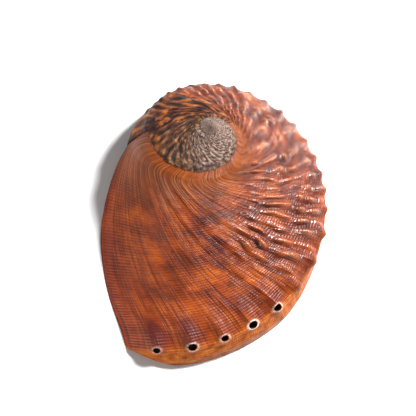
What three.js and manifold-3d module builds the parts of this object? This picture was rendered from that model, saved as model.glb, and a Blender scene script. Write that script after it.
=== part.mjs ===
// Abalone shell: one natural piece, open side down on z = 0.
// The shell is a growth sweep. The lip curve of the full-grown shell is carried back in time by
// turning it about the coil axis while shrinking it towards the apex, so every older growth line
// is a smaller, turned copy of the last one. Millimetres, +Z up, +X towards the newest holes.
import * as THREE from 'three';
import { mergeVertices } from 'three/addons/utils/BufferGeometryUtils.js';
import Module from 'manifold-3d';

// ---- driving dimensions (mm, degrees) ----
const APEX_HEIGHT = 38.5; // centre of growth, on which the spiral closes
const TIP_HEIGHT = 39.8; // top of the small knob that the shell began as
const COIL_AXIS = new THREE.Vector3(-0.196, -0.03, 0.98).normalize();
const GROWTH_RATE = 0.252; // per radian of turning
const SUTURE_LAG = 279; // how far behind the lip the older whorl is met
const STEP = 6.2; // one growth step; 45 steps make the lag
const LAG_STEPS = Math.round(SUTURE_LAG / STEP);
const OUTER_STEPS = 114; // steps from the lip back to the tip of the spire
const INNER_STEPS = 72; // the nacre fills the spire above this step
const WALL_ROWS = 4;
const LIP_COLUMNS = 11;
const COLUMNS = WALL_ROWS + LIP_COLUMNS;

// the wall of shell
const WALL_THICKNESS = 2.3;
const LIP_THICKNESS = 1.5;
const SHELF_WIDTH = 6.5; // flat columellar shelf under the row of holes
const SHELF_THICKNESS = 2.2;
const SHELF_SHARE = 0.3; // the shelf is never thicker than this part of the wall's height
const SHELF_STARTS = [4, 40]; // ages over which the shelf widens
const SHELF_END = 30; // growth angle over which it narrows again before the suture

// the outer lip bends down to the ground over these growth angles
const LIP_TURN = 13;
const CORNER_TURN = 4;
const FOOT_POWER = 1.4; // how quickly the bend sets in from the suture to the foot
const CORNER_PULL = 0.034; // rounding of the corner where the row of holes meets the lip
const CORNER_SPAN = 6.5;
const CORNER_START = 0.72;

// Where the wall below the shoulder flares out: how far it stands out at the ground, and the
// ages over which that comes in and goes again.
const WALL_FLARES = [
  { width: 4.7, comes: [0, 16], goes: [48, 84] },
  { width: 1.1, comes: [55, 90], goes: [215, 260] },
  { width: 5.6, comes: [215, 279], goes: [300, 360] },
];
const FLARE_POWER = 0.8;
const WALL_POWER = 1.3;

// the row of breathing holes: the newest are open, the older ones have healed to knobs
const OPEN_HOLES = 5;
const HOLE_COUNT = 21;
const HOLE_FIRST = 8.5; // age of the newest hole
const HOLE_PITCH = 10;
const WIDE_GAP = { hole: 8, spread: 2.2, extra: 6 }; // a wider stretch in the row
const HOLE_BORE = 3;
const NEWEST_BORE_SCALE = 0.8;
const BORE_TAPER = 0.1;
const BORE_DEPTH = 12;
const BORE_SIDES = 12;
const HOLE_LEAN = 0.45; // how far the holes lean outwards from upright
const TUBERCLE_SINK = 0.9;
const OPEN_TUBERCLE = { radius: 3.8, height: 1.6, drop: 0 };
const HEALED_TUBERCLE = { radius: 3.4, height: 2.2, drop: 0.85 };
const TUBERCLE_DEPTH = 0.8; // depth of a tubercle as a share of its length

// The shoulder carries the holes; it is the outer end of the lip curve.
const SHOULDER = new THREE.Vector3(88.8, -10.4, 5.2);
// The free lip, from the foot beside the spire round the long side to the shoulder.
const LIP_POINTS = [
  [2.4, -30, 20],
  [13.7, -31.9, 18.4],
  [28.2, -32.4, 17.4],
  [42, -31, 16],
  [55.4, -27, 14.2],
  [68.2, -21.4, 12],
  [80.6, -14.5, 9],
  [88.8, -10.4, 5.2],
].map((p) => new THREE.Vector3(...p));

const APEX = new THREE.Vector3(0, 0, APEX_HEIGHT);
const lipCurve = new THREE.CatmullRomCurve3(LIP_POINTS, false, 'centripetal');

function grow(point, degrees) {
  const angle = THREE.MathUtils.degToRad(degrees);
  return point
    .clone()
    .sub(APEX)
    .applyAxisAngle(COIL_AXIS, -angle)
    .multiplyScalar(Math.exp(GROWTH_RATE * angle))
    .add(APEX);
}

const smooth = THREE.MathUtils.smoothstep;

// How far the wall below the shoulder flares out before it reaches the ground.
function wallFlare(degrees) {
  const age = -degrees;
  let total = 0;
  for (const { width, comes, goes } of WALL_FLARES) {
    total += width * smooth(age, ...comes) * (1 - smooth(age, ...goes));
  }
  return total;
}

// Horizontal direction pointing away from the shell at a shoulder point.
function outward(degrees) {
  const ahead = grow(SHOULDER, degrees + 1);
  const behind = grow(SHOULDER, degrees - 1);
  const tangent = ahead.sub(behind).setZ(0).normalize();
  return new THREE.Vector3(-tangent.y, tangent.x, 0);
}

// Shape of one growth line: column 0 is the suture, the last column is the shoulder.
function growthLine(column) {
  const suture = grow(SHOULDER, -SUTURE_LAG);
  if (column <= WALL_ROWS) {
    const u = column / WALL_ROWS;
    const point = suture.clone().lerp(LIP_POINTS[0], Math.sin((u * Math.PI) / 2));
    point.z = THREE.MathUtils.lerp(suture.z, LIP_POINTS[0].z, u);
    return point;
  }
  return lipCurve.getPointAt((column - WALL_ROWS) / LIP_COLUMNS);
}

// The last bit of growth bends down until the whole lip lies on the ground.
function turnDown(column, degrees) {
  const along = column / COLUMNS;
  const turn = THREE.MathUtils.lerp(LIP_TURN, CORNER_TURN, smooth(along, 0.7, 1));
  const reach = Math.min(1, (column / WALL_ROWS) ** FOOT_POWER);
  return 1 - reach * Math.exp(degrees / turn);
}

function topPoint(column, degrees) {
  const point = grow(growthLine(column), degrees);
  point.z *= turnDown(column, degrees);
  const near = Math.exp(degrees / CORNER_SPAN) * smooth(column / COLUMNS, CORNER_START, 1);
  point.x *= 1 - CORNER_PULL * near;
  return point;
}

function wallPoint(row, degrees) {
  const u = row / WALL_ROWS;
  const point = topPoint(COLUMNS, degrees);
  const flare = wallFlare(degrees) * Math.sin((u * Math.PI) / 2) ** FLARE_POWER;
  point.addScaledVector(outward(degrees), flare);
  point.z *= 1 - u ** WALL_POWER;
  return point;
}

// A sheet covers the shell from the ground rim to the tip. Its suture edge is shared with the
// shoulder of the whorl one lag older, so the whole spiral is a single surface.
function makeSheet(steps) {
  const points = [];
  const faces = [];
  const index = new Map();
  const vertex = (key, make) => {
    if (!index.has(key)) {
      index.set(key, points.length);
      points.push(make());
    }
    return index.get(key);
  };
  const top = (column, step) => {
    if (column === 0 && step + LAG_STEPS <= steps) {
      return top(COLUMNS, step + LAG_STEPS);
    }
    return vertex(`t${column}:${step}`, () => topPoint(column, -STEP * step));
  };
  const wall = (row, step) => {
    if (row === 0 || step === 0) {
      return top(COLUMNS, step);
    }
    if (step === LAG_STEPS) {
      return top(row, 0);
    }
    return vertex(`w${row}:${step}`, () => wallPoint(row, -STEP * step));
  };
  const quad = (a, b, c, d) => {
    const corners = [a, b, c, d].filter((v, i, all) => v !== all[(i + 3) % 4]);
    for (let i = 1; i < corners.length - 1; i += 1) {
      faces.push([corners[0], corners[i], corners[i + 1]]);
    }
  };
  for (let step = 0; step < steps; step += 1) {
    for (let column = 0; column < COLUMNS; column += 1) {
      quad(top(column, step), top(column + 1, step), top(column + 1, step + 1), top(column, step + 1));
    }
  }
  for (let step = 0; step < LAG_STEPS; step += 1) {
    for (let row = 0; row < WALL_ROWS; row += 1) {
      quad(wall(row, step), wall(row + 1, step), wall(row + 1, step + 1), wall(row, step + 1));
    }
  }
  // The tip closes with a fan over the open end of the spiral.
  const loop = [];
  for (let column = COLUMNS; column > 0; column -= 1) {
    loop.push(top(column, steps));
  }
  for (let step = steps; step > steps - LAG_STEPS; step -= 1) {
    loop.push(top(0, step));
  }
  const tip = points.length;
  const centre = new THREE.Vector3();
  loop.forEach((v) => centre.addScaledVector(points[v], 1 / loop.length));
  centre.z = TIP_HEIGHT;
  points.push(centre);
  loop.forEach((v, i) => faces.push([loop[(i + 1) % loop.length], v, tip]));
  // The rim runs round the ground line: free lip first, then the foot of the wall.
  const rim = [];
  for (let column = WALL_ROWS; column < COLUMNS; column += 1) {
    rim.push({ v: top(column, 0), shelf: 0 });
  }
  for (let step = 0; step < LAG_STEPS; step += 1) {
    rim.push({ v: wall(WALL_ROWS, step), shelf: step });
  }
  return { points, faces, rim, top, wall };
}

function toGeometry(points, faces) {
  const geometry = new THREE.BufferGeometry();
  const positions = new Float32Array(points.length * 3);
  points.forEach((p, i) => p.toArray(positions, i * 3));
  geometry.setAttribute('position', new THREE.BufferAttribute(positions, 3));
  geometry.setIndex(faces.flat());
  return geometry;
}

function sheetNormals(sheet) {
  const geometry = toGeometry(sheet.points, sheet.faces);
  geometry.computeVertexNormals();
  const normals = geometry.getAttribute('normal');
  return sheet.points.map((p, i) => new THREE.Vector3().fromBufferAttribute(normals, i));
}

// The inside face: the same growth surface moved in by the shell thickness, ending in the shelf.
function makeInside() {
  const sheet = makeSheet(INNER_STEPS);
  const normals = sheetNormals(sheet);
  const inside = sheet.points.map((p, i) => p.clone().addScaledVector(normals[i], -WALL_THICKNESS));
  for (let column = WALL_ROWS; column <= COLUMNS; column += 1) {
    const v = sheet.top(column, 0);
    const inwards = normals[v].clone().setZ(0).normalize();
    inside[v].copy(sheet.points[v]).addScaledVector(inwards, -LIP_THICKNESS);
    inside[v].z = 0;
  }
  for (let step = 1; step < LAG_STEPS; step += 1) {
    const degrees = -STEP * step;
    const started = smooth(-degrees, ...SHELF_STARTS);
    const ended = smooth(-degrees, SUTURE_LAG - SHELF_END, SUTURE_LAG);
    const shelf = THREE.MathUtils.lerp(LIP_THICKNESS, SHELF_WIDTH, started * (1 - ended));
    const shoulder = sheet.points[sheet.top(COLUMNS, step)];
    for (let row = WALL_ROWS - 1; row <= WALL_ROWS; row += 1) {
      const v = sheet.wall(row, step);
      inside[v].copy(sheet.points[sheet.wall(WALL_ROWS, step)]);
      inside[v].addScaledVector(outward(degrees), -shelf);
      inside[v].z = row === WALL_ROWS ? 0 : Math.min(SHELF_THICKNESS, SHELF_SHARE * shoulder.z);
    }
  }
  return { sheet, inside };
}

function makeBody() {
  const outer = makeSheet(OUTER_STEPS);
  const { sheet: inner, inside } = makeInside();
  const offset = outer.points.length;
  const points = [...outer.points, ...inside];
  const faces = [...outer.faces];
  inner.faces.forEach(([a, b, c]) => faces.push([a + offset, c + offset, b + offset]));
  outer.rim.forEach((entry, i) => {
    const next = (i + 1) % outer.rim.length;
    const a = entry.v;
    const b = outer.rim[next].v;
    const c = inner.rim[next].v + offset;
    const d = inner.rim[i].v + offset;
    faces.push([a, d, c], [a, c, b]);
  });
  return toGeometry(points, faces);
}

// ---- holes and knobs on the shoulder ----
function holeAngle(i) {
  const wider = WIDE_GAP.extra * Math.exp(-(((i - WIDE_GAP.hole) / WIDE_GAP.spread) ** 2));
  return -(HOLE_FIRST + HOLE_PITCH * i + wider);
}

function shoulderFrame(degrees) {
  const point = topPoint(COLUMNS, degrees);
  const along = topPoint(COLUMNS, degrees + 1).sub(topPoint(COLUMNS, degrees - 1)).normalize();
  const side = outward(degrees);
  const up = new THREE.Vector3(0, 0, 1).addScaledVector(side, HOLE_LEAN);
  up.addScaledVector(along, -up.dot(along)).normalize();
  const across = new THREE.Vector3().crossVectors(along, up);
  return new THREE.Matrix4().makeBasis(along, up, across).setPosition(point);
}

function makeTubercle(i) {
  const degrees = holeAngle(i);
  const { radius, height, drop } = i < OPEN_HOLES ? OPEN_TUBERCLE : HEALED_TUBERCLE;
  const shape = new THREE.SphereGeometry(1, 8, 5);
  shape.scale(radius, height, radius * TUBERCLE_DEPTH);
  shape.translate(0, -TUBERCLE_SINK, -drop);
  const grown = Math.exp(GROWTH_RATE * THREE.MathUtils.degToRad(degrees));
  shape.scale(grown, grown, grown);
  return shape.applyMatrix4(shoulderFrame(degrees));
}

function makeBore(i) {
  const radius = (HOLE_BORE / 2) * (i === 0 ? NEWEST_BORE_SCALE : 1);
  const top = radius * (1 + BORE_TAPER);
  const bottom = radius * (1 - BORE_TAPER);
  const shape = new THREE.CylinderGeometry(top, bottom, BORE_DEPTH, BORE_SIDES);
  return shape.applyMatrix4(shoulderFrame(holeAngle(i)));
}

// ---- solid joining ----
const wasm = await Module();
wasm.setup();

function toSolid(source) {
  const bare = source.clone();
  bare.deleteAttribute('normal');
  bare.deleteAttribute('uv');
  const welded = mergeVertices(bare, 1e-4);
  const mesh = new wasm.Mesh({
    numProp: 3,
    vertProperties: Float32Array.from(welded.getAttribute('position').array),
    triVerts: Uint32Array.from(welded.getIndex().array),
  });
  return new wasm.Manifold(mesh);
}

let solid = toSolid(makeBody());
for (let i = 0; i < HOLE_COUNT; i += 1) {
  solid = solid.add(toSolid(makeTubercle(i)));
}
for (let i = 0; i < OPEN_HOLES; i += 1) {
  solid = solid.subtract(toSolid(makeBore(i)));
}

const result = solid.getMesh();
const geometry = new THREE.BufferGeometry();
geometry.setAttribute('position', new THREE.BufferAttribute(Float32Array.from(result.vertProperties), 3));
geometry.setIndex(Array.from(result.triVerts));
geometry.computeBoundingBox();
const middle = geometry.boundingBox.getCenter(new THREE.Vector3());
geometry.translate(-middle.x, -middle.y, 0);
geometry.computeVertexNormals();

const shell = new THREE.Mesh(
  geometry,
  new THREE.MeshStandardMaterial({ color: '#a4501f', roughness: 0.35, metalness: 0 }),
);
shell.name = 'shell';

const group = new THREE.Group();
group.name = 'abalone_shell';
group.add(shell);

export default group;
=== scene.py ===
import bpy
import bmesh
from math import cos, exp, pi, radians, sin
from mathutils import Matrix, Vector, noise


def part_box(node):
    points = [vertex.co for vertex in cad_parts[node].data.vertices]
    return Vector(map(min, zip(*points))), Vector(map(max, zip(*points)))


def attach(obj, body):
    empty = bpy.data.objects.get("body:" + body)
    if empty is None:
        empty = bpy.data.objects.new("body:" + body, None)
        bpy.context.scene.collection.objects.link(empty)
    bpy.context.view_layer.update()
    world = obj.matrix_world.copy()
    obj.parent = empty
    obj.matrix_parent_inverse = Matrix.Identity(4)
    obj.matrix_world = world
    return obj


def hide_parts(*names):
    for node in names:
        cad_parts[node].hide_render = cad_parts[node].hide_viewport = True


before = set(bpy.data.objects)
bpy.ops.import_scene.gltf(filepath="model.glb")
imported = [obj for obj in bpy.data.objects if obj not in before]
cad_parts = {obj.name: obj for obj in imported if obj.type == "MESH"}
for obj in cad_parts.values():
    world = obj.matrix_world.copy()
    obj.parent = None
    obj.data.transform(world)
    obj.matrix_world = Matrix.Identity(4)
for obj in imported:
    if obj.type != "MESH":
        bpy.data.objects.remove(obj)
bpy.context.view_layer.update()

# ---- the shell's growth, in millimetres and degrees of turning ----
# Age counts back from the newest lip. "Along" runs across a growth line: 0 at the suture,
# FOOT where the lip meets the ground beside the spire, 1 at the shoulder with the holes,
# and on to WALL_END at the ground below the holes.
MM = 0.001
APEX = Vector((0, 0, 38.5))
COIL_AXIS = Vector((-0.196, -0.03, 0.98)).normalized()
GROWTH_RATE = 0.252
SUTURE_LAG = 279.0
SHOULDER = Vector((88.8, -10.4, 5.2))
LIP_POINTS = (
    (2.4, -30, 20), (13.7, -31.9, 18.4), (28.2, -32.4, 17.4), (42, -31, 16),
    (55.4, -27, 14.2), (68.2, -21.4, 12), (80.6, -14.5, 9), (88.8, -10.4, 5.2),
)
FOOT = 4 / 15
FOOT_COVE = 5.5  # size of the hollow that eases the corner at the foot
FOOT_POWER = 1.4
WALL_END = 1.3
LIP_TURN = 13
CORNER_TURN = 4
CORNER_PULL = 0.034
CORNER_SPAN = 6.5
THICKNESS = 2.3
LIP_THICKNESS = 1.4
SHELF_WIDTH = 6.3
SHELF_THICKNESS = 2.0
SHELF_SHARE = 0.3  # the shelf is never thicker than this part of the wall's height
SHELF_STARTS = (4, 40)
SHELF_END = 30

# breathing holes: the newest five are open, the older ones have healed to knobs
OPEN_HOLES = 5
HOLE_COUNT = 25
HOLE_FIRST = 8.5
HOLE_PITCH = 10
WIDE_GAP_HOLE = 8
WIDE_GAP_SPREAD = 2.2
WIDE_GAP_EXTRA = 6
HOLE_BORE = 2.9
HOLE_LEAN = 0.45  # how far the holes lean outwards from upright
HOLE_STRETCH = (1.2, 0.95)  # the bores are a little longer along the row
CUTTER_DEPTH = 12
CUTTER_SIDES = 28
# for each open hole: size of its bore, wear of its lip, and the dark stain above it
BORE_SIZES = (0.72, 0.92, 0.8, 1.0, 0.9)
RIM_WEAR = (0.35, 0.75, 0.55, 1.1, 0.7)
STAINS = (1.35, 1.15, 0.4, 0.3, 0.4)
# rough millimetres beside a newest hole: for each radian of age along the row of holes, and for
# each unit of along above the row and below it
ROW_RADIUS = 90
LINE_LENGTH = 60
WALL_LENGTH = 45

# sculpture of the outside
FOLD_HEIGHT = 2.7
RIB_HEIGHT = 1.4
TIP_KNOB = 1.55
TIP_RADIUS = 2.3
SPIRE_AGE = 228
TIP_RIM_HEIGHT = 15  # an open edge above this height belongs to the tip of the spire
TIP_EXTRA_AGE = 60  # the point that closes the tip counts as this much older than its rim
# age and step height of the pauses in growth that show as lines across the shell
GROWTH_PAUSES = (
    (20.4, 0.12), (27.6, 0.2), (33.5, 0.3), (40.2, 0.28), (48.5, 0.7), (58, 0.35), (70, 0.3),
    (82, 0.35), (97, 0.3), (118, 0.3), (150, 0.25), (228, 0.9),
)

# patterns: the UV map holds the share of a growth line and the age in hundreds of degrees
FOOT_SHARE = 0.062
DEGREES_PER_UV = 100
YOUNG_THREADS = 74
OLD_THREADS = 50

# mesh density: spans on each part of the growth line, steps of growth within the suture lag,
# how many such lags are grown, and rows down the wall
OUTER = {"foot": 16, "lip": 94, "lag": 200, "turns": 3.0, "wall": 16}
INNER = {"foot": 6, "lip": 34, "lag": 70, "turns": 1.5, "wall": 6}


def clamp(x, low=0.0, high=1.0):
    return max(low, min(high, x))


def smooth(x, low, high):
    x = clamp((x - low) / (high - low))
    return x * x * (3 - 2 * x)


def lerp(a, b, t):
    return a + (b - a) * t


def bell(x, width):
    """A smooth bump: 1 at x = 0, and about a third of that at x = width."""
    return exp(-((x / width) ** 2))


def grown(point, age):
    """A point of the newest growth line, carried back to where it was at that age."""
    turn = Matrix.Rotation(radians(age), 3, COIL_AXIS)
    return APEX + exp(-GROWTH_RATE * radians(age)) * (turn @ (point - APEX))


def size_at(age):
    """Size of the shell at that age, as a share of its size now."""
    return exp(-GROWTH_RATE * radians(age))


def outward(age):
    """Level direction pointing away from the shell at the shoulder."""
    run = grown(SHOULDER, age - 1) - grown(SHOULDER, age + 1)
    run.z = 0
    run.normalize()
    return Vector((-run.y, run.x, 0))


def hole_age(i):
    return (HOLE_FIRST + HOLE_PITCH * i
            + WIDE_GAP_EXTRA * bell(i - WIDE_GAP_HOLE, WIDE_GAP_SPREAD))


# ---- the bare growth surface ----
def lip_samples(count):
    """Evenly spaced points of the free lip, a smooth curve through LIP_POINTS."""
    p = [Vector(q) for q in LIP_POINTS]
    p = [2 * p[0] - p[1]] + p + [2 * p[-1] - p[-2]]
    fine = []
    for a, b, c, d in zip(p, p[1:], p[2:], p[3:]):
        for n in range(40):
            t = n / 40
            fine.append(0.5 * (2 * b + (c - a) * t + (2 * a - 5 * b + 4 * c - d) * t ** 2
                               + (3 * b - a - 3 * c + d) * t ** 3))
    fine.append(p[-2])
    reach = [0.0]
    for a, b in zip(fine, fine[1:]):
        reach.append(reach[-1] + (b - a).length)
    out = []
    k = 0
    for n in range(count + 1):
        want = reach[-1] * n / count
        while k < len(fine) - 2 and reach[k + 1] < want:
            k += 1
        part = (want - reach[k]) / (reach[k + 1] - reach[k])
        out.append(fine[k].lerp(fine[k + 1], clamp(part)))
    return out


def growth_line(density):
    """(along, point) pairs from the suture to the shoulder, with the corner at the foot eased."""
    suture = grown(SHOULDER, SUTURE_LAG)
    foot = Vector(LIP_POINTS[0])
    values = []
    points = []
    for n in range(density["foot"]):
        u = n / density["foot"]
        point = suture.lerp(foot, sin(u * pi / 2))
        point.z = lerp(suture.z, foot.z, u)
        values.append(FOOT * u)
        points.append(point)
    lip = lip_samples(density["lip"])
    for n, point in enumerate(lip):
        values.append(lerp(FOOT, 1, n / density["lip"]))
        points.append(point)
    spacing = (lip[1] - lip[0]).length
    ease = [0.0] + [1 - smooth(value, 0.34, 0.6) for value in values[1:]]
    for _ in range(round((FOOT_COVE / spacing) ** 2)):
        middles = [(a + c) / 2 for a, c in zip(points, points[2:])]
        for n, middle in enumerate(middles, 1):
            points[n] = points[n].lerp(middle, ease[n])
    return list(zip(values, points))


def settle_lip(point, along, age):
    """The last bit of growth bends down until the whole lip lies on the ground."""
    turn = lerp(LIP_TURN, CORNER_TURN, smooth(along, 0.7, 1))
    point.z *= 1 - min(1, (along / FOOT) ** FOOT_POWER) * exp(-age / turn)
    point.x *= 1 - CORNER_PULL * exp(-age / CORNER_SPAN) * smooth(along, 0.72, 1)
    return point


def wall_flare(age):
    """How far the wall stands out at the ground."""
    near_lip = 4.7 * smooth(age, 0, 16) * (1 - smooth(age, 48, 84))
    beside_spire = 5.6 * smooth(age, 215, 279)
    between = 1.1 * smooth(age, 55, 90) * (1 - smooth(age, 215, 260))
    return near_lip + beside_spire + between


def wall_point(u, age):
    point = settle_lip(grown(SHOULDER, age), 1, age)
    point += outward(age) * wall_flare(age) * sin(u * pi / 2) ** 0.8
    point.z *= 1 - u ** 1.3
    return point


def extruded(bm, edges, along, age):
    """Extrudes a chain of edges; new points take over the values of the ones they grew from."""
    old = {v for e in edges for v in e.verts}
    ret = bmesh.ops.extrude_edge_only(bm, edges=edges)
    new = [g for g in ret["geom"] if isinstance(g, bmesh.types.BMVert)]
    for v in new:
        for e in v.link_edges:
            source = e.other_vert(v)
            if source in old:
                v[along] = source[along]
                v[age] = source[age]
    chain = [e for e in ret["geom"] if isinstance(e, bmesh.types.BMEdge)
             and e.verts[0] not in old and e.verts[1] not in old]
    return new, chain


def growth_sheet(density):
    """The outer surface as one sheet: a lip edge grown backwards, then the wall below the holes."""
    bm = bmesh.new()
    along = bm.verts.layers.float.new("along")
    age = bm.verts.layers.float.new("age")
    line = []
    for value, point in growth_line(density):
        v = bm.verts.new(point)
        v[along] = value
        line.append(v)
    chain = [bm.edges.new(pair) for pair in zip(line, line[1:])]
    step = SUTURE_LAG / density["lag"]
    back = (Matrix.Translation(APEX) @ Matrix.Rotation(radians(step), 4, COIL_AXIS)
            @ Matrix.Scale(size_at(step), 4) @ Matrix.Translation(-APEX))
    shoulder = [line[-1]]
    for n in range(round(density["lag"] * density["turns"])):
        new, chain = extruded(bm, chain, along, age)
        bmesh.ops.transform(bm, matrix=back, space=Matrix(), verts=new)
        for v in new:
            v[age] += step
        if n < density["lag"]:
            shoulder.append(next(v for v in new if v[along] == 1))
    wall = [bm.edges.get(pair) for pair in zip(shoulder, shoulder[1:])]
    for v in bm.verts:
        settle_lip(v.co, v[along], v[age])
    edge_line = [(v[along], v.co.copy()) for v in line[:density["foot"] + 1]]
    for row in range(1, density["wall"] + 1):
        new, wall = extruded(bm, wall, along, age)
        u = row / density["wall"]
        for v in new:
            v[along] = 1 + (WALL_END - 1) * u
            v.co = wall_point(u, v[age])
            if v[age] > SUTURE_LAG - 0.5 * step:
                v.co = edge_line[row][1]
    return bm, along, age


def close_spiral(bm, along, age, tip_lift):
    """Joins each whorl to the one it grew against and closes the tip of the spire."""
    bmesh.ops.remove_doubles(bm, verts=bm.verts, dist=0.002)
    rims = [e for e in bm.edges if e.is_boundary]
    tip = [e for e in rims if min(v.co.z for v in e.verts) > TIP_RIM_HEIGHT]
    ret = bmesh.ops.edgeloop_fill(bm, edges=tip)
    for f in ret["faces"]:
        oldest = max(v[age] for v in f.verts)
        centre = bmesh.ops.poke(bm, faces=[f])["verts"][0]
        centre[age] = oldest + TIP_EXTRA_AGE
        centre[along] = 0.5
        centre.co.z += tip_lift
    bmesh.ops.recalc_face_normals(bm, faces=bm.faces)
    if sum(f.normal.z * f.calc_area() for f in bm.faces) < 0:
        bmesh.ops.reverse_faces(bm, faces=bm.faces)
    bm.normal_update()


def across(along):
    """Distance across the growth line as a share of its length, for patterns."""
    if along < FOOT:
        return FOOT_SHARE * along / FOOT
    if along <= 1:
        return lerp(FOOT_SHARE, 1, (along - FOOT) / (1 - FOOT))
    return 1 + (along - 1) * 0.5


# ---- relief of the outside ----
def wander(x, y, z=0.0):
    """Smooth unevenness between -1 and 1, the same on every run."""
    return noise.noise(Vector((x, y, z)))


def fold_wave(along, age):
    """Oblique folds on the older part of the back, broken into rows of bumps by the threads:
    how much of the folds this place has, and the height of the fold's wave there."""
    start = smooth(age, 50, 66)
    inner = lerp(0.52, 0.25, smooth(age, 80, 150))
    edge = 0.06 * smooth(age, 120, 160)
    place = start * smooth(along, inner, inner + 0.16)
    place *= (1 - smooth(along, 0.95 + edge, 1.02 + edge)) * (1 - 0.55 * smooth(along, 0.88, 0.98))
    place *= 1 - smooth(age, SPIRE_AGE - 10, SPIRE_AGE)
    if place <= 0:
        return 0.0, 0.0
    slant = lerp(14, 34, smooth(age, 120, 190))
    warp = 2.6 * wander(along * 6, age / 26) + 1.0 * wander(along * 14, age / 12, 4)
    phase = (age + slant * (along - 0.5) + warp) / lerp(6.2, 7.6, smooth(age, 110, 190))
    crest = 0.5 + 0.5 * cos(2 * pi * phase)
    place_in_row = along * 7.5 + 0.37 * round(phase) + wander(age / 30, along * 4, 9)
    beads = 0.5 + 0.5 * cos(2 * pi * place_in_row)
    strength = 0.9 + 0.7 * wander(along * 5, age / 17, 12)
    return place * clamp(strength, 0.35, 1.25), crest ** 1.5 * (0.2 + 0.8 * beads)


def fold_relief(along, age):
    """Height of the folds, in millimetres at the size of the newest growth."""
    place, wave = fold_wave(along, age)
    return FOLD_HEIGHT * place * wave


def growth_step_relief(along, age):
    """Pauses in growth: the newer shell starts a little lower than the older edge."""
    total = 0.0
    for pause, height in GROWTH_PAUSES:
        d = age + 1.6 * wander(along * 4, pause) - pause
        if -1 < d < 14:
            total += height * smooth(d, 0, 0.9) * exp(-max(0, d) / 6)
    fade = smooth(along, 0.05, 0.4)
    return total * fade


def knob_relief(along, age):
    """Mounds and raised lips of the open holes, and the knobs of the healed ones."""
    total = 0.0
    for i in range(HOLE_COUNT):
        da = radians(age - hole_age(i)) * ROW_RADIUS
        if abs(da) > 16:
            continue
        ds = (along - 1) * (LINE_LENGTH if along < 1 else WALL_LENGTH)
        if i < OPEN_HOLES:
            mound = bell(da - 0.8, 4.0) * bell(ds + 1.8, 4.2) * 1.5
            collar = bell(da, 2.4) * bell(ds, 2.4) * 0.9
            total += mound + collar
        else:
            shape = 0.95 + 0.35 * wander(i * 3.1, 2)
            shape *= 2.5 - 1.2 * smooth(age, 130, 190)
            total += shape * bell(da, 3.0) * bell(ds + 0.8, 3.2)
    return total


def hole_stain(along, age):
    """Dark stain on the upper flank of each open hole's mound."""
    total = 0.0
    for i in range(OPEN_HOLES):
        da = radians(age - hole_age(i)) * ROW_RADIUS
        ds = (along - 1) * LINE_LENGTH
        total += STAINS[i] * bell(da - 2.2, 4.4) * bell(ds + 3.8, 3.8)
    return clamp(total)


def hole_frame(i):
    """Axes of a breathing hole: along the shoulder, across it, and out through the wall."""
    age = hole_age(i)
    point = settle_lip(grown(SHOULDER, age), 1, age)
    ahead = settle_lip(grown(SHOULDER, age - 1), 1, age - 1)
    run = (ahead - point).normalized()
    up = Vector((0, 0, 1)) + HOLE_LEAN * outward(age)
    up = (up - up.dot(run) * run).normalized()
    return Matrix.Translation(point) @ Matrix((run, up.cross(run), up)).transposed().to_4x4()


def hole_rim(place, age, frames):
    """Pale worn lip round each open hole."""
    if age > 60:
        return 0.0
    total = 0.0
    for i, into in enumerate(frames):
        local = into @ place
        reach = Vector((local.x / HOLE_STRETCH[0], local.y / HOLE_STRETCH[1])).length
        edge = HOLE_BORE / 2 * BORE_SIZES[i] + 0.3
        total += RIM_WEAR[i] * bell(reach - edge, 0.38)
    return clamp(total)


def keel_relief(along, age):
    """The shoulder stands up as a low keel, with a shallow gutter below it on the wall."""
    keel = 0.35 * bell((along - 1) * LINE_LENGTH, 4)
    gutter = -0.35 * bell((along - 1.08) * WALL_LENGTH, 1.6)
    cord = 0.3 * bell((along - 1.17) * WALL_LENGTH, 1.1)
    return keel + (gutter + cord) * smooth(age, 0, 12)


def rib_wave(along, age):
    """Ribs across the spire, which get finer on its worn tip: how much, and how high."""
    place = smooth(age, SPIRE_AGE, SPIRE_AGE + 8) * smooth(along, 0.0, 0.25)
    slant = 30 * (1 - smooth(age, 300, 360))
    phase = (age + slant * (along - 0.5) + 5 * wander(along * 3, age / 30, 17)) / 9
    beads = 0.8 + 0.2 * cos(2 * pi * (along * 7 + 0.4 * round(phase)))
    return place, (0.5 + 0.5 * cos(2 * pi * phase)) * beads


def rib_relief(along, age):
    """Height of the ribs, in millimetres at the size of the newest growth."""
    place, wave = rib_wave(along, age)
    return RIB_HEIGHT * place * wave


def tip_relief(place):
    """The small knob that the shell began as."""
    reach = (place.x - APEX.x) ** 2 + (place.y - APEX.y) ** 2
    return TIP_KNOB * exp(-reach / TIP_RADIUS ** 2)


def outside_relief(along, age):
    """Everything that stands up from the bare growth surface, in millimetres."""
    size = size_at(age)
    relief = fold_relief(along, age) + knob_relief(along, age) * (1 - smooth(age, 250, 275))
    relief += keel_relief(along, age) + rib_relief(along, age)
    swell = 0.5 * wander(along * 3, age / 30, 20) + 0.22 * wander(along * 11, age / 9, 7)
    relief += swell * smooth(age, 4, 20)
    relief = relief * size + growth_step_relief(along, age) * size ** 0.5
    margin = smooth(age, 0, 5) if along < 1 else smooth(WALL_END - along, 0, 0.08)
    return relief * margin


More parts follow.
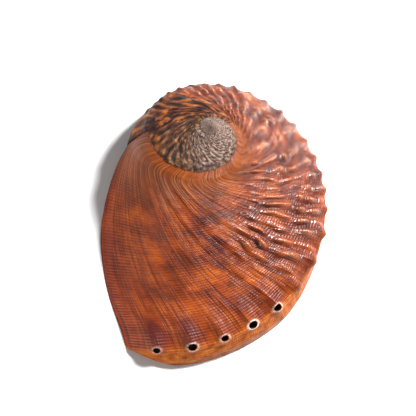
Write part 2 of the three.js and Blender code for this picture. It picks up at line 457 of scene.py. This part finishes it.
def outer_skin():
    """The outer surface with its sculpture, and its layers of along and age."""
    bm, along, age = growth_sheet(OUTER)
    near_holes = [e for e in bm.edges if all(
        0.5 < v[age] < 57 and 0.86 < v[along] < 1.12 for v in e.verts)]
    bmesh.ops.subdivide_edges(bm, edges=near_holes, cuts=1, use_grid_fill=True)
    across_folds = [e for e in bm.edges if e.verts[0][along] == e.verts[1][along]
                    and all(58 < v[age] < 270 and 0.2 < v[along] < 1.05 for v in e.verts)]
    bmesh.ops.subdivide_edges(bm, edges=across_folds, cuts=1, use_grid_fill=True)
    close_spiral(bm, along, age, 0.1)
    moves = [(v, v.normal * (0 if v.is_boundary else outside_relief(v[along], v[age])))
             for v in bm.verts]
    for v, move in moves:
        v.co += move
        v.co.z += tip_relief(v.co)
    return bm, along, age


def inner_skin():
    """The inner surface, moved in by the thickness of the shell and ending in the flat shelf."""
    bm, along, age = growth_sheet(INNER)
    close_spiral(bm, along, age, 0)
    moves = []
    for v in bm.verts:
        level = v.normal.copy()
        level.z = 0
        if v.is_boundary and v[age] < 0.5:
            place = v.co - level.normalized() * LIP_THICKNESS
            place.z = 0
        elif v[along] > 1.2:
            ended = smooth(v[age], SUTURE_LAG - SHELF_END, SUTURE_LAG)
            grow = smooth(v[age], *SHELF_STARTS) * (1 - ended)
            foot = wall_point(1, v[age])
            shelf = lerp(LIP_THICKNESS, SHELF_WIDTH, grow)
            lift = 0 if v.is_boundary else smooth(WALL_END - v[along], 0, 0.08)
            place = foot - outward(v[age]) * shelf
            place.z = lift * min(SHELF_THICKNESS, SHELF_SHARE * wall_point(0, v[age]).z)
        else:
            place = v.co - v.normal * THICKNESS
        moves.append((v, place))
    for v, place in moves:
        v.co = place
        v.co.z = max(0, v.co.z)
    bmesh.ops.reverse_faces(bm, faces=bm.faces)
    return bm


def shell_mesh():
    """Outer and inner skins joined along the rim into one closed wall of shell."""
    outer, along, age = outer_skin()
    inner = inner_skin()
    store = bpy.data.meshes.new("inner")
    inner.to_mesh(store)
    inner.free()
    uv = outer.loops.layers.uv.new("growth")
    inside = outer.verts.layers.float.new("inside")
    masks = {name: outer.verts.layers.float.new(name)
             for name in ("crest", "trough", "stain", "bore_rim")}
    frames = [hole_frame(i).inverted() for i in range(OPEN_HOLES)]
    for v in outer.verts:
        s, t = v[along], v[age]
        place, wave = fold_wave(s, t)
        if t > SPIRE_AGE:
            place, wave = rib_wave(s, t)
            place *= clamp(0.5 + 1.2 * wander(t / 22, s * 4, 33), 0.1, 1)
        # crest: where the colour is paled, partly wear and partly painted highlight, and where the
        # coat shines
        v[masks["crest"]] = clamp(place * wave)
        # trough: where painted shade darkens the colour between folds and ribs
        v[masks["trough"]] = clamp(place * (1 - 2.2 * wave))
        v[masks["stain"]] = hole_stain(s, t)
        v[masks["bore_rim"]] = hole_rim(v.co, t, frames)
    for f in outer.faces:
        middle = sum(l.vert[age] for l in f.loops) / len(f.loops)
        for l in f.loops:
            s, t = l.vert[along], l.vert[age]
            if t - middle > 100:
                s, t = 0.0, t - SUTURE_LAG
            elif middle - t > 100 and t >= 1:
                s, t = 1.0, t + SUTURE_LAG
            elif middle - t > 60:
                s, t = WALL_END - (WALL_END - 1) * (1 - s / FOOT), SUTURE_LAG
            l[uv].uv = (across(s), t / DEGREES_PER_UV)
    known = set(outer.verts)
    outer.from_mesh(store)
    bpy.data.meshes.remove(store)
    for v in outer.verts:
        if v not in known:
            v[inside] = 1.0
    outer.faces.ensure_lookup_table()
    loops = [e for e in outer.edges if e.is_boundary]
    for f in bmesh.ops.bridge_loops(outer, edges=loops)["faces"]:
        for l in f.loops:
            l[uv].uv = (1.2, 0.3)
    for v in outer.verts:
        v.co *= MM
    bmesh.ops.recalc_face_normals(outer, faces=outer.faces)
    for f in outer.faces:
        f.smooth = True
    return outer


def hole_cutter(i):
    """A slightly tapered oval plug through the shoulder."""
    bm = bmesh.new()
    radius = HOLE_BORE / 2 * BORE_SIZES[i]
    bmesh.ops.create_cone(bm, cap_ends=True, segments=CUTTER_SIDES, radius1=radius * 0.85,
                          radius2=radius * 1.25, depth=CUTTER_DEPTH,
                          matrix=Matrix.Diagonal((*HOLE_STRETCH, 1, 1)))
    bmesh.ops.transform(bm, matrix=hole_frame(i), verts=bm.verts)
    bmesh.ops.scale(bm, vec=(MM, MM, MM), verts=bm.verts)
    bmesh.ops.recalc_face_normals(bm, faces=bm.faces)
    mesh = bpy.data.meshes.new("hole_cutter")
    bm.to_mesh(mesh)
    bm.free()
    return mesh


def build_shell():
    """The walled shell with its open holes cut through."""
    bm = shell_mesh()
    mesh = bpy.data.meshes.new("shell_skin")
    bm.to_mesh(mesh)
    bm.free()
    shell = bpy.data.objects.new("shell_skin", mesh)
    bpy.context.collection.objects.link(shell)
    cutters = []
    for i in range(OPEN_HOLES):
        cutter = bpy.data.objects.new("hole_cutter", hole_cutter(i))
        bpy.context.collection.objects.link(cutter)
        cutters.append(cutter)
        cut = shell.modifiers.new("breathing_hole", "BOOLEAN")
        cut.operation = "DIFFERENCE"
        cut.solver = "EXACT"
        cut.object = cutter
    cut_shell = shell.evaluated_get(bpy.context.evaluated_depsgraph_get())
    finished = bpy.data.meshes.new_from_object(cut_shell)
    shell.modifiers.clear()
    shell.data = finished
    for cutter in cutters:
        bpy.data.objects.remove(cutter)
    return shell


# ---- finishes ----
def linear(hex_colour):
    """An sRGB hex value as the linear colour that Blender works in."""
    channels = [int(hex_colour[i:i + 2], 16) / 255 for i in (1, 3, 5)]
    return [c / 12.92 if c <= 0.04045 else ((c + 0.055) / 1.055) ** 2.4 for c in channels] + [1]


def node(tree, kind, inputs=None, out=0, stops=(), **settings):
    """Adds a node and returns one of its outputs. An input is a value, an sRGB hex colour or
    another node's output; stops are the (position, colour) pairs of a colour ramp."""
    made = tree.nodes.new("ShaderNode" + kind)
    for name, value in settings.items():
        setattr(made, name, value)
    for name, value in (inputs or {}).items():
        if isinstance(value, bpy.types.NodeSocket):
            tree.links.new(value, made.inputs[name])
        else:
            made.inputs[name].default_value = linear(value) if isinstance(value, str) else value
    for _ in range(len(stops) - 2):
        made.color_ramp.elements.new(0.5)
    for n, (position, colour) in enumerate(stops):
        made.color_ramp.elements[n].position = position
        made.color_ramp.elements[n].color = linear(colour)
    return made.outputs[out]


# settings shared by many nodes
MULTIPLY = {"operation": "MULTIPLY"}
ADD = {"operation": "ADD"}
SOFT_STEP = {"interpolation_type": "SMOOTHSTEP"}
COLOUR_MIX = {"data_type": "RGBA", "out": 2}


def growth_noise(tree, cells, detail, seed):
    """Noise on the growth surface: cells per growth line's length and per degree of growth."""
    place = node(tree, "VectorMath", {0: node(tree, "UVMap", uv_map="growth"),
                                      1: (cells[0], cells[1] * DEGREES_PER_UV, 0),
                                      2: (0, 0, seed)}, operation="MULTIPLY_ADD")
    return node(tree, "TexNoise", {"Vector": place, "Scale": 1.0, "Detail": detail,
                                   "Roughness": 0.6})


def thread_height(tree, along, age):
    """Threads about 1.3 mm apart at the lip, and fewer on the older shell, so that they stay
    about as wide. They wander a little and come and go."""
    drift = node(tree, "Math", {0: growth_noise(tree, (9, 0.05), 2, 3), 1: 0.012}, **MULTIPLY)
    lane = node(tree, "Math", {0: along, 1: drift}, **ADD)
    waves = []
    for count in (YOUNG_THREADS, OLD_THREADS):
        turn = node(tree, "Math", {0: lane, 1: 2 * pi * count}, **MULTIPLY)
        waves.append(node(tree, "Math", {0: turn}, operation="COSINE"))
    older = node(tree, "MapRange", {0: age, 1: 62, 2: 84}, **SOFT_STEP)
    threads = node(tree, "Mix", {0: older, 2: waves[0], 3: waves[1]})
    strong = node(tree, "MapRange", {0: growth_noise(tree, (60, 0.35), 2, 8),
                                     1: 0.3, 2: 0.7, 3: 0.25, 4: 1.0}, **SOFT_STEP)
    threads = node(tree, "Math", {0: threads, 1: strong}, **MULTIPLY)
    clear = node(tree, "MapRange", {0: along, 1: 0.06, 2: 0.2}, **SOFT_STEP)
    return node(tree, "Math", {0: threads, 1: clear}, **MULTIPLY)


def body_colour(tree, along, age, fine_lines, broad_lines):
    """Brick orange of the body whorl under purple-brown clouds drawn out along growth lines."""
    clouds = growth_noise(tree, (6.5, 0.05), 5, 11)
    fleck = growth_noise(tree, (26, 0.3), 4, 14)
    tone = node(tree, "Math", {0: clouds, 1: 0.66}, **MULTIPLY)
    tone = node(tree, "Math", {0: fleck, 1: 0.18, 2: tone}, operation="MULTIPLY_ADD")
    tone = node(tree, "Math", {0: broad_lines, 1: 0.16, 2: tone}, operation="MULTIPLY_ADD")
    colour = node(tree, "ValToRGB", {0: tone}, stops=(
        (0.39, "#300c08"), (0.45, "#521a0a"), (0.5, "#702b0a"), (0.55, "#86380b"),
        (0.65, "#a35213")))
    streak = node(tree, "MapRange", {0: fine_lines, 1: 0.5, 2: 0.75, 4: 0.38}, **SOFT_STEP)
    colour = node(tree, "Mix", {0: streak, 6: colour, 7: "#b5692a"}, **COLOUR_MIX)
    # the last season's growth is a clearer orange, and the newest shell along the lip redder
    season = node(tree, "MapRange", {0: age, 1: 50, 2: 30, 4: 0.2}, **SOFT_STEP)
    colour = node(tree, "Mix", {0: season, 6: colour, 7: "#94400d"}, **COLOUR_MIX)
    lip = node(tree, "MapRange", {0: age, 1: 16, 2: 2, 4: 0.35}, **SOFT_STEP)
    colour = node(tree, "Mix", {0: lip, 6: colour, 7: "#7c2410"}, **COLOUR_MIX)
    # tan fan beside the spire
    beside = node(tree, "MapRange", {0: along, 1: 0.34, 2: 0.02, 4: 0.85}, **SOFT_STEP)
    fan = node(tree, "ValToRGB", {0: growth_noise(tree, (0.7, 0.8), 5, 51)}, stops=(
        (0.36, "#4a1908"), (0.46, "#703210"), (0.54, "#84451e"), (0.64, "#a87342")))
    colour = node(tree, "Mix", {0: beside, 6: colour, 7: fan}, **COLOUR_MIX)
    # the wall below the holes is plain light orange; far round the back it is painted near-black
    # with a slate-blue tint, painted shade on that steep wall
    wall_tone = node(tree, "ValToRGB", {0: fleck}, stops=((0.38, "#8c3c0c"), (0.6, "#b5641c")))
    below = node(tree, "MapRange", {0: along, 1: 0.985, 2: 1.02, 4: 0.85}, **SOFT_STEP)
    newer = node(tree, "MapRange", {0: age, 1: 150, 2: 70}, **SOFT_STEP)
    wall = node(tree, "Math", {0: below, 1: newer}, **MULTIPLY)
    colour = node(tree, "Mix", {0: wall, 6: colour, 7: wall_tone}, **COLOUR_MIX)
    below = node(tree, "MapRange", {0: along, 1: 1.0, 2: 1.06}, **SOFT_STEP)
    older = node(tree, "MapRange", {0: age, 1: 170, 2: 230}, **SOFT_STEP)
    far_wall_shade = node(tree, "Math", {0: below, 1: older}, **MULTIPLY)
    return node(tree, "Mix", {0: far_wall_shade, 6: colour, 7: "#1b1820"}, **COLOUR_MIX), far_wall_shade


def spire_colour(tree, along, age):
    """Dark brown and orange ribs near the growth pause, then olive and cream mottling, worn to
    greyish white round the tip. Also returns how worn it is."""
    mottle = growth_noise(tree, (7, 0.11), 5, 31)
    colour = node(tree, "ValToRGB", {0: mottle}, stops=(
        (0.42, "#140603"), (0.5, "#3a1706"), (0.56, "#6a3010"), (0.64, "#9c5f2a")))
    mossy = node(tree, "ValToRGB", {0: growth_noise(tree, (9, 0.12), 5, 35)}, stops=(
        (0.4, "#120603"), (0.48, "#321607"), (0.55, "#563014"), (0.64, "#967045")))
    olive = node(tree, "MapRange", {0: age, 1: 285, 2: 325}, **SOFT_STEP)
    colour = node(tree, "Mix", {0: olive, 6: colour, 7: mossy}, **COLOUR_MIX)
    bare = node(tree, "ValToRGB", {0: growth_noise(tree, (12, 0.16), 4, 41)}, stops=(
        (0.38, "#2c1b14"), (0.48, "#563f35"), (0.6, "#a08b7e")))
    edge = node(tree, "Math", {0: mottle, 1: 150, 2: age}, operation="MULTIPLY_ADD")
    worn = node(tree, "MapRange", {0: edge, 1: 405, 2: 470}, **SOFT_STEP)
    inner = node(tree, "MapRange", {0: along, 1: 0.98, 2: 0.82, 3: 0.35}, **SOFT_STEP)
    worn = node(tree, "Math", {0: worn, 1: inner}, **MULTIPLY)
    return node(tree, "Mix", {0: worn, 6: colour, 7: bare}, **COLOUR_MIX), worn


def periostracum_material():
    """Calcite shell under a thin horny skin, sea-worn: glossy brick orange with purple-brown
    clouds, threads along the coil and growth lines across it."""
    material = bpy.data.materials.new("sea_worn_calcite_shell")
    material.use_nodes = True
    tree = material.node_tree
    surface = tree.nodes["Principled BSDF"]
    growth = node(tree, "UVMap", uv_map="growth")
    along = node(tree, "SeparateXYZ", {0: growth})
    age = node(tree, "Math", {0: node(tree, "SeparateXYZ", {0: growth}, out=1),
                              1: DEGREES_PER_UV}, **MULTIPLY)
    threads = thread_height(tree, along, age)
    # growth lines: one every degree or so, broad swells, and thin dark lines at pauses
    fine_lines = growth_noise(tree, (1.6, 1.7), 3, 1)
    broad_lines = growth_noise(tree, (1.2, 0.22), 3, 5)
    off_line = node(tree, "Math", {0: growth_noise(tree, (0.8, 0.3), 3, 23), 1: 0.5},
                    operation="SUBTRACT")
    off_line = node(tree, "Math", {0: off_line}, operation="ABSOLUTE")
    pause = node(tree, "MapRange", {0: off_line, 1: 0.04, 2: 0.004}, **SOFT_STEP)

    colour, far_wall_shade = body_colour(tree, along, age, fine_lines, broad_lines)
    clear_wall = node(tree, "MapRange", {0: along, 1: 1.0, 2: 0.96, 4: 0.6}, **SOFT_STEP)
    faint_pause = node(tree, "Math", {0: pause, 1: clear_wall}, **MULTIPLY)
    colour = node(tree, "Mix", {0: faint_pause, 6: colour, 7: "#47150a"}, **COLOUR_MIX)
    top_colour, worn = spire_colour(tree, along, age)
    arrest = node(tree, "Math", {0: broad_lines, 1: 8, 2: age}, operation="MULTIPLY_ADD")
    spire = node(tree, "MapRange", {0: arrest, 1: SPIRE_AGE + 3, 2: SPIRE_AGE + 6}, **SOFT_STEP)
    colour = node(tree, "Mix", {0: spire, 6: colour, 7: top_colour}, **COLOUR_MIX)

    # crests of the folds and of the spire's ribs are paler: partly wear, partly a painted highlight
    # standing in for their glints
    crest = node(tree, "Attribute", attribute_name="crest", out=2)
    pale = node(tree, "MapRange", {0: crest, 1: 0.3, 2: 1.0, 4: 0.5}, **SOFT_STEP)
    crest_wear_and_highlight = node(tree, "ValToRGB", {0: node(tree, "MapRange", {0: age, 1: 250, 2: 450})},
                      stops=((0.0, "#a8602c"), (0.4, "#8d6a44"), (1.0, "#b9aba0")))
    colour = node(tree, "Mix", {0: pale, 6: colour, 7: crest_wear_and_highlight}, **COLOUR_MIX)
    # painted shade: the troughs between folds and between spire ribs are darkened
    trough = node(tree, "Attribute", attribute_name="trough", out=2)
    trough = node(tree, "Math", {0: trough, 1: 0.55}, **MULTIPLY)
    trough_painted_shade = node(tree, "ValToRGB", {0: node(tree, "MapRange", {0: age, 1: 220, 2: 450})},
                       stops=((0.0, "#3c0e04"), (0.3, "#150803"), (1.0, "#54453f")))
    colour = node(tree, "Mix", {0: trough, 6: colour, 7: trough_painted_shade}, **COLOUR_MIX)
    # painted shade: the grooves between the threads are darkened
    thread_groove_shade = node(tree, "MapRange", {0: threads, 1: 0.0, 2: -0.9, 4: 0.42}, **SOFT_STEP)
    colour = node(tree, "Mix", {0: thread_groove_shade, 6: colour, 7: "#300a03"}, **COLOUR_MIX)
    # dark stain above the newest holes, and a pale worn lip round each of them
    stain = node(tree, "Attribute", attribute_name="stain", out=2)
    colour = node(tree, "Mix", {0: stain, 6: colour, 7: "#4a160f"}, **COLOUR_MIX)
    bore_rim = node(tree, "Attribute", attribute_name="bore_rim", out=2)
    colour = node(tree, "Mix", {0: bore_rim, 6: colour, 7: "#d8cbbd"}, **COLOUR_MIX)

    height = node(tree, "Math", {0: threads, 1: 0.5}, **MULTIPLY)
    height = node(tree, "Math", {0: fine_lines, 1: 1.1, 2: height}, operation="MULTIPLY_ADD")
    height = node(tree, "Math", {0: broad_lines, 1: 1.4, 2: height}, operation="MULTIPLY_ADD")
    height = node(tree, "Math", {0: pause, 1: -0.6, 2: height}, operation="MULTIPLY_ADD")
    grit = node(tree, "TexNoise", {"Vector": node(tree, "TexCoord", out=3), "Scale": 900.0,
                                   "Detail": 3.0})
    height = node(tree, "Math", {0: grit, 1: 0.35, 2: height}, operation="MULTIPLY_ADD")
    bump = node(tree, "Bump", {"Height": height, "Strength": 0.6, "Distance": 0.00028})
    # the worn tip is chalky, the body whorl glossy, and duller towards the lip
    rough = node(tree, "MapRange", {0: grit, 1: 0.3, 2: 0.7, 3: 0.28, 4: 0.36}, **SOFT_STEP)
    dull_lip = node(tree, "MapRange", {0: age, 1: 60, 2: 15, 4: 0.15}, **SOFT_STEP)
    rough = node(tree, "Math", {0: rough, 1: dull_lip}, **ADD)
    rough = node(tree, "Math", {0: worn, 1: 0.25, 2: rough}, operation="MULTIPLY_ADD")
    rough = node(tree, "Math", {0: far_wall_shade, 1: 0.4, 2: rough}, operation="MULTIPLY_ADD")
    tree.links.new(bump, surface.inputs["Normal"])
    tree.links.new(bump, surface.inputs["Coat Normal"])
    tree.links.new(colour, surface.inputs["Base Color"])
    tree.links.new(rough, surface.inputs["Roughness"])
    surface.inputs["IOR"].default_value = 1.53
    # the periostracum is still whole on the folded part, which shines as if wet
    folded = node(tree, "MapRange", {0: age, 1: 45, 2: 80}, **SOFT_STEP)
    away = node(tree, "MapRange", {0: along, 1: 0.1, 2: 0.4, 3: 0.0, 4: 0.9}, **SOFT_STEP)
    gloss = node(tree, "Math", {0: folded, 1: away}, **MULTIPLY)
    spireless = node(tree, "MapRange", {0: age, 1: 240, 2: 215}, **SOFT_STEP)
    gloss = node(tree, "Math", {0: gloss, 1: spireless}, **MULTIPLY)
    rubbed = node(tree, "MapRange", {0: crest, 1: 0.03, 2: 0.3, 3: 0.12, 4: 1.0}, **SOFT_STEP)
    gloss = node(tree, "Math", {0: gloss, 1: rubbed}, **MULTIPLY)
    tree.links.new(gloss, surface.inputs["Coat Weight"])
    surface.inputs["Coat Roughness"].default_value = 0.25
    surface.inputs["Coat IOR"].default_value = 1.5
    surface.inputs["Specular IOR Level"].default_value = 0.14
    return material


def nacre_material():
    """Mother-of-pearl: a smooth silvery lining whose pinks and greens change in slow bands."""
    material = bpy.data.materials.new("mother_of_pearl")
    material.use_nodes = True
    tree = material.node_tree
    surface = tree.nodes["Principled BSDF"]
    place = node(tree, "TexCoord", out=3)
    bands = node(tree, "TexNoise", {"Vector": place, "Scale": 38.0, "Detail": 4.0,
                                    "Distortion": 1.6})
    colour = node(tree, "ValToRGB", {0: bands}, stops=(
        (0.3, "#9fc3bb"), (0.42, "#d9d6cf"), (0.5, "#e3c2cc"), (0.58, "#c9cfe0"),
        (0.68, "#b8d3b4")))
    ripple = node(tree, "TexNoise", {"Vector": place, "Scale": 160.0, "Detail": 2.0})
    bump = node(tree, "Bump", {"Height": ripple, "Strength": 0.25, "Distance": 0.0004})
    tree.links.new(colour, surface.inputs["Base Color"])
    tree.links.new(bump, surface.inputs["Normal"])
    surface.inputs["Metallic"].default_value = 0.15
    surface.inputs["Roughness"].default_value = 0.22
    surface.inputs["IOR"].default_value = 1.6
    surface.inputs["Coat Weight"].default_value = 0.5
    surface.inputs["Coat Roughness"].default_value = 0.1
    return material


# ---- the shell, set over the plain one ----
shell = build_shell()
low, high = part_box("shell")
points = [v.co for v in shell.data.vertices]
own_low = Vector([min(p[i] for p in points) for i in range(3)])
own_high = Vector([max(p[i] for p in points) for i in range(3)])
centre_shift = ((low + high) - (own_low + own_high)) / 2
centre_shift.z = 0
shell.data.transform(Matrix.Translation(centre_shift))

shell.data.materials.append(periostracum_material())
shell.data.materials.append(nacre_material())
inside = shell.data.attributes["inside"].data
for face in shell.data.polygons:
    if all(inside[i].value > 0.5 for i in face.vertices):
        face.material_index = 1
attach(shell, "root")
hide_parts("shell")


# ---- stage, in metres ----
VIEW_BACK = Vector((0.3752, -0.0806, 0.9235)).normalized()
VIEW_UP = Vector((-0.9024, -0.2593, 0.344)).normalized()
VIEW_RIGHT = VIEW_UP.cross(VIEW_BACK).normalized()
CAMERA_DISTANCE = 1.0
LENS = 213
SENSOR_WIDTH = 36
# the shell sits a little below and to the right of the middle of the view
VIEW_OFFSET = VIEW_UP * 0.0089 - VIEW_RIGHT * 0.0016
FLOOR_HALF_WIDTH = 3
ROOM_BRIGHTNESS = 0.33


def make_floor():
    """A wide pale matt floor at z = 0."""
    grid = bmesh.new()
    bmesh.ops.create_grid(grid, x_segments=1, y_segments=1, size=FLOOR_HALF_WIDTH)
    mesh = bpy.data.meshes.new("floor")
    grid.to_mesh(mesh)
    grid.free()
    made = bpy.data.objects.new("floor", mesh)
    bpy.context.collection.objects.link(made)
    paint = bpy.data.materials.new("floor_paint")
    paint.use_nodes = True
    paint_surface = paint.node_tree.nodes["Principled BSDF"]
    paint_surface.inputs["Base Color"].default_value = linear("#d0d0d0")
    mesh.materials.append(paint)
    return made


def area_light(name, direction, distance, size, power):
    """A round lamp that shines at the shell from the given direction."""
    data = bpy.data.lights.new(name, "AREA")
    data.shape = "DISK"
    data.size = size
    data.energy = power
    lamp = bpy.data.objects.new(name, data)
    bpy.context.collection.objects.link(lamp)
    back = direction.normalized()
    lamp.location = target + back * distance
    lamp.rotation_mode = "QUATERNION"
    lamp.rotation_quaternion = (-back).to_track_quat("-Z", "Y")


floor = make_floor()

target = Vector(((low.x + high.x) / 2, (low.y + high.y) / 2, 0)) + VIEW_OFFSET
camera_data = bpy.data.cameras.new("camera")
camera_data.lens = LENS
camera_data.sensor_width = SENSOR_WIDTH
camera = bpy.data.objects.new("camera", camera_data)
bpy.context.collection.objects.link(camera)
facing = Matrix((VIEW_RIGHT, VIEW_UP, VIEW_BACK)).transposed().to_4x4()
camera.matrix_world = Matrix.Translation(target + VIEW_BACK * CAMERA_DISTANCE) @ facing
bpy.context.scene.camera = camera
bpy.context.scene.view_settings.view_transform = "Standard"

area_light("key", VIEW_RIGHT * 0.76 + VIEW_UP * 0.66 + VIEW_BACK * 0.5,
           distance=1.4, size=0.3, power=68)
area_light("fill", -VIEW_RIGHT * 0.8 - VIEW_UP * 0.45 + VIEW_BACK * 0.42,
           distance=1.5, size=0.3, power=22)
world = bpy.data.worlds.new("room")
world.use_nodes = True
background = world.node_tree.nodes["Background"]
background.inputs["Color"].default_value = (1, 1, 1, 1)
background.inputs["Strength"].default_value = ROOM_BRIGHTNESS
bpy.context.scene.world = world
